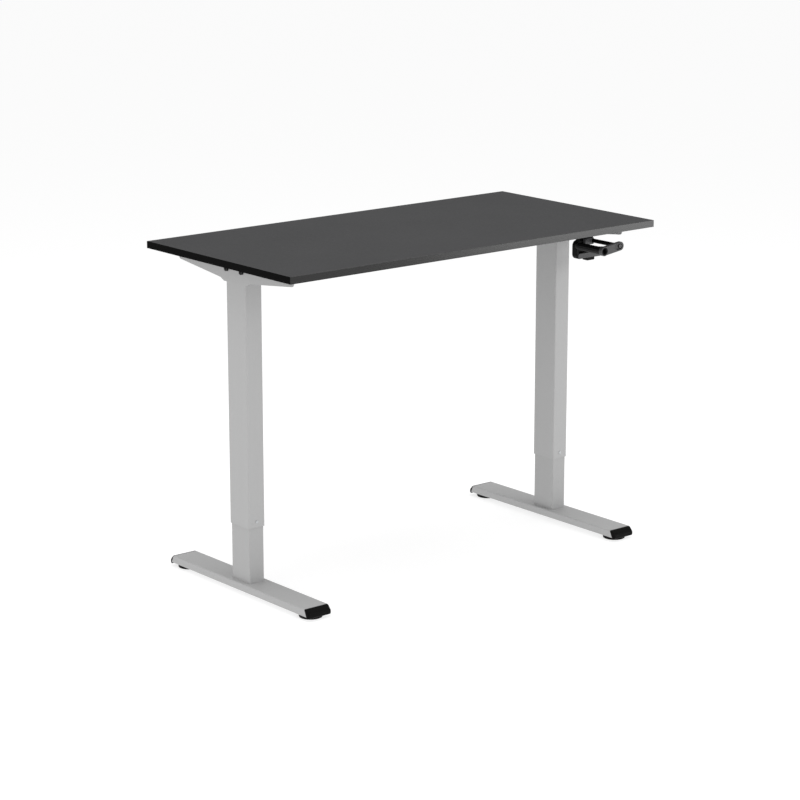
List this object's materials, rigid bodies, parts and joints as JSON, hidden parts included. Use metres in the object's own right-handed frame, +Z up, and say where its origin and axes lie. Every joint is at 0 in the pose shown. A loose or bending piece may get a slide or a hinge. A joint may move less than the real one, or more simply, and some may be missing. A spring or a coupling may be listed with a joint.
{
  "type": "height adjustable standing desk",
  "caption": "Crank-operated height adjustable desk with a flat tabletop on two telescopic legs and flat feet; the crank is stowed under its front edge.",
  "frame": {"origin": "on the floor under the middle of the tabletop", "axes": "+X to the right along the tabletop's width as seen by the person working at it, +Y away from that person, +Z up"},
  "size_m": [1.2, 0.6, 0.866],
  "materials": {
    "powder_coated_steel": "fine textured light grey powder coat",
    "inner_tube_powder_coat": "smooth light grey powder coat",
    "black_moulded_plastic": "fine moulded grain, matt",
    "zinc_plated_steel": "bright zinc plate",
    "cast_housing": "as cast, grey",
    "sintered_steel_gear": "sintered, oiled",
    "natural_nylon": "natural nylon",
    "charcoal_melamine_board": "charcoal melamine face on chipboard",
    "abs_edge_band": "charcoal edge band",
    "black_oxide_bolt": "black oxide",
    "bronze_nut": "machined bronze"
  },
  "bodies": {
    "base": {"foot_left": "powder_coated_steel", "foot_right": "powder_coated_steel", "foot_cap_front_left": "black_moulded_plastic", "foot_cap_back_left": "black_moulded_plastic", "foot_cap_front_right": "black_moulded_plastic", "foot_cap_back_right": "black_moulded_plastic", "pad_inserts": "zinc_plated_steel", "foot_bolts": "zinc_plated_steel", "base_plate_left": "zinc_plated_steel", "base_plate_right": "zinc_plated_steel", "column_inner_left": "inner_tube_powder_coat", "column_inner_right": "inner_tube_powder_coat", "nut_carrier_left": "natural_nylon", "nut_carrier_right": "natural_nylon", "spindle_nuts": "bronze_nut"},
    "pad_front_left": {"pad_front_left": "black_moulded_plastic"},
    "pad_back_left": {"pad_back_left": "black_moulded_plastic"},
    "pad_front_right": {"pad_front_right": "black_moulded_plastic"},
    "pad_back_right": {"pad_back_right": "black_moulded_plastic"},
    "top_frame": {"tabletop_board": "charcoal_melamine_board", "edge_band_front": "abs_edge_band", "edge_band_back": "abs_edge_band", "edge_band_left": "abs_edge_band", "edge_band_right": "abs_edge_band", "side_bracket_left": "powder_coated_steel", "side_bracket_right": "powder_coated_steel", "column_outer_left": "powder_coated_steel", "column_outer_right": "powder_coated_steel", "lower_guide_left": "natural_nylon", "lower_guide_right": "natural_nylon", "guide_screws": "zinc_plated_steel", "gear_housing_left": "cast_housing", "gear_housing_right": "cast_housing", "housing_lid_left": "cast_housing", "housing_lid_right": "cast_housing", "thrust_bearings": "zinc_plated_steel", "cross_rail_front": "powder_coated_steel", "cross_rail_back": "powder_coated_steel", "bracket_bolts": "black_oxide_bolt", "tabletop_screws": "zinc_plated_steel", "rail_screws": "zinc_plated_steel", "crank_housing": "black_moulded_plastic", "crank_screws": "zinc_plated_steel"},
    "spindle_left": {"spindle_left": "zinc_plated_steel", "spindle_gear_left": "sintered_steel_gear"},
    "spindle_right": {"spindle_right": "zinc_plated_steel", "spindle_gear_right": "sintered_steel_gear"},
    "cross_shaft": {"cross_bar": "zinc_plated_steel", "cross_gear_left": "sintered_steel_gear", "cross_gear_right": "sintered_steel_gear"},
    "drive_shaft": {"drive_bar": "zinc_plated_steel", "drive_gear": "sintered_steel_gear"},
    "crank_bush": {"crank_bush": "black_moulded_plastic"},
    "crank": {"crank_rod": "black_moulded_plastic", "crank_arm": "black_moulded_plastic", "crank_arm_screw": "black_oxide_bolt"},
    "grip_core": {"grip_core": "black_moulded_plastic"},
    "grip": {"grip_sleeve": "black_moulded_plastic"}
  },
  "joints": [
    {"name": "height_slide", "type": "slide", "parent": "base", "child": "top_frame", "axis": [0, 0, 1], "range_m": [-0.136, 0.314]},
    {"name": "pad_front_left_turn", "type": "hinge", "parent": "base", "child": "pad_front_left", "pos_m": [-0.5175, -0.259, 0], "axis": [0, 0, 1], "continuous": true},
    {"name": "pad_front_right_turn", "type": "hinge", "parent": "base", "child": "pad_front_right", "pos_m": [0.5175, -0.259, 0], "axis": [0, 0, 1], "continuous": true},
    {"name": "pad_back_left_turn", "type": "hinge", "parent": "base", "child": "pad_back_left", "pos_m": [-0.5175, 0.259, 0], "axis": [0, 0, 1], "continuous": true},
    {"name": "pad_back_right_turn", "type": "hinge", "parent": "base", "child": "pad_back_right", "pos_m": [0.5175, 0.259, 0], "axis": [0, 0, 1], "continuous": true},
    {"name": "spindle_left_turn", "type": "hinge", "parent": "top_frame", "child": "spindle_left", "pos_m": [-0.5175, 0, 0.8005], "axis": [0, 0, 1], "range_deg": [-18845, 8165]},
    {"name": "spindle_right_turn", "type": "hinge", "parent": "top_frame", "child": "spindle_right", "pos_m": [0.5175, 0, 0.8005], "axis": [0, 0, 1], "range_deg": [-8165, 18845]},
    {"name": "cross_shaft_turn", "type": "hinge", "parent": "top_frame", "child": "cross_shaft", "pos_m": [0, 0, 0.8005], "axis": [1, 0, 0], "range_deg": [-18845, 8165]},
    {"name": "drive_shaft_turn", "type": "hinge", "parent": "top_frame", "child": "drive_shaft", "pos_m": [0.5175, 0, 0.8005], "axis": [0, 1, 0], "range_deg": [-18845, 8165]},
    {"name": "crank_turn", "type": "hinge", "parent": "top_frame", "child": "crank_bush", "pos_m": [0.5175, -0.15, 0.8005], "axis": [0, -1, 0], "range_deg": [0, 165]},
    {"name": "crank_pull", "type": "slide", "parent": "crank_bush", "child": "crank", "axis": [0, -1, 0], "range_m": [0, 0.07]},
    {"name": "grip_push", "type": "slide", "parent": "crank", "child": "grip_core", "axis": [0, -1, 0], "range_m": [0, 0.095]},
    {"name": "grip_spin", "type": "hinge", "parent": "grip_core", "child": "grip", "pos_m": [0.46, -0.21, 0.79293], "axis": [0, -1, 0], "continuous": true}
  ],
  "couplings": [
    {"joint": "spindle_right_turn", "follows": "height_slide", "rad_per_m": 1047.2},
    {"joint": "spindle_left_turn", "follows": "height_slide", "rad_per_m": -1047.2},
    {"joint": "cross_shaft_turn", "follows": "height_slide", "rad_per_m": -1047.2},
    {"joint": "drive_shaft_turn", "follows": "height_slide", "rad_per_m": -1047.2}
  ]
}
